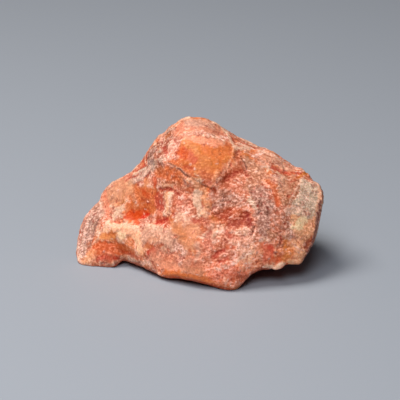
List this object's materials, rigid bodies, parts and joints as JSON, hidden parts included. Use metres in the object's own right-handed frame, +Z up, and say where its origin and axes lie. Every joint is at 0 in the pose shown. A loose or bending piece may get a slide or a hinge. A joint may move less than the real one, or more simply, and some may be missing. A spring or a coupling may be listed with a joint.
{
  "type": "rough triplite stone",
  "caption": "Rough broken stone of salmon-orange triplite: a leaning wedge with a domed cap block, standing on a flat spot under it.",
  "frame": {"origin": "middle of the stone's box, on the plane that it rests on", "axes": "+Z up, +X along the stone's length toward its pale end facet, -Y out of the broken show face"},
  "size_m": [0.036, 0.021, 0.0211],
  "materials": {
    "triplite": "broken granular phosphate mineral, resinous to glassy, slightly translucent salmon orange with cream and deep red patches"
  },
  "bodies": {
    "root": {"triplite_stone": "triplite"}
  },
  "joints": []
}
